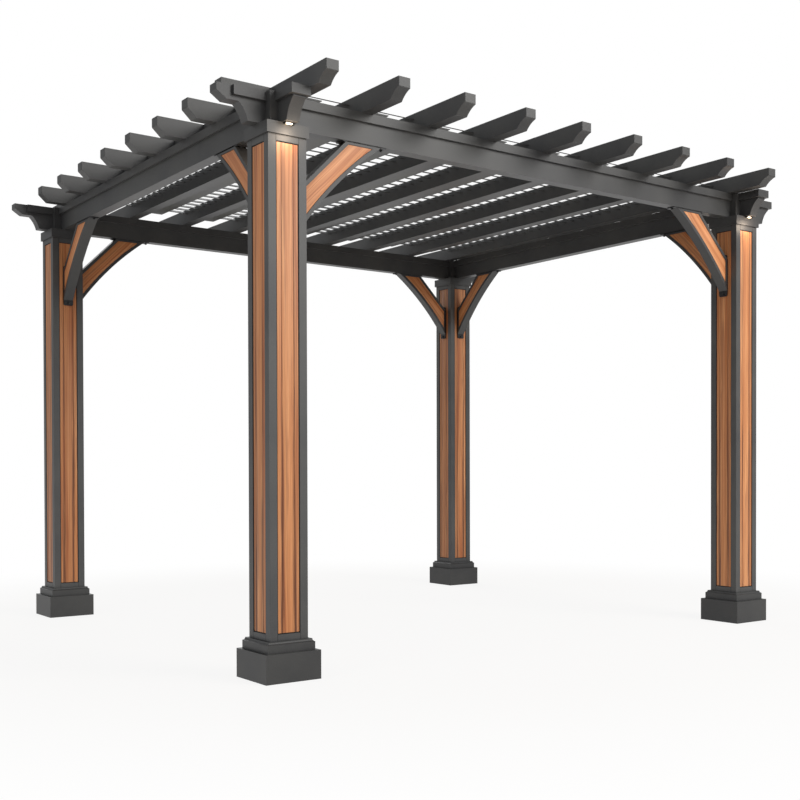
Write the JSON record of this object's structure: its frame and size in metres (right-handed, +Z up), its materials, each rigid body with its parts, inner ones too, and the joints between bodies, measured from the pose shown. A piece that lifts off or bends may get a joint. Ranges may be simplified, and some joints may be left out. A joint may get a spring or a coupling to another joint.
{
  "type": "louvered pergola",
  "caption": "Free-standing garden pergola: square posts with cedar panels on plinths, bowed braces, beams with cap strips, rafters and fixed louver blades.",
  "frame": {"origin": "on the ground at the centre of the rectangle that the four posts make", "axes": "+X along the front beam to the right, +Y from the front to the rear, +Z up"},
  "size_m": [3.56, 3.28, 2.521],
  "materials": {
    "charcoal": "satin powder coat",
    "cedar": "satin cedar",
    "light_lens": "frosted"
  },
  "bodies": {
    "root": {"post_front_left": "charcoal", "post_front_right": "charcoal", "post_rear_left": "charcoal", "post_rear_right": "charcoal", "cedar_front_left": "cedar", "cedar_front_right": "cedar", "cedar_rear_left": "cedar", "cedar_rear_right": "cedar", "plinth_front_left": "charcoal", "plinth_front_right": "charcoal", "plinth_rear_left": "charcoal", "plinth_rear_right": "charcoal", "collar_front_left": "charcoal", "collar_front_right": "charcoal", "collar_rear_left": "charcoal", "collar_rear_right": "charcoal", "beam_front": "charcoal", "beam_rear": "charcoal", "beam_left": "charcoal", "beam_right": "charcoal", "cap_front": "charcoal", "cap_rear": "charcoal", "cap_left": "charcoal", "cap_right": "charcoal", "brace_front_left_x": "charcoal", "brace_front_left_y": "charcoal", "brace_front_right_x": "charcoal", "brace_front_right_y": "charcoal", "brace_rear_left_x": "charcoal", "brace_rear_left_y": "charcoal", "brace_rear_right_x": "charcoal", "brace_rear_right_y": "charcoal", "rafter_1": "charcoal", "rafter_2": "charcoal", "rafter_3": "charcoal", "rafter_4": "charcoal", "rafter_5": "charcoal", "rafter_6": "charcoal", "rafter_7": "charcoal", "rafter_8": "charcoal", "rafter_9": "charcoal", "tails_left": "charcoal", "tails_right": "charcoal", "louvers_left": "charcoal", "louvers_right": "charcoal", "shades_left": "charcoal", "shades_right": "charcoal", "light_bars": "light_lens"}
  },
  "joints": []
}
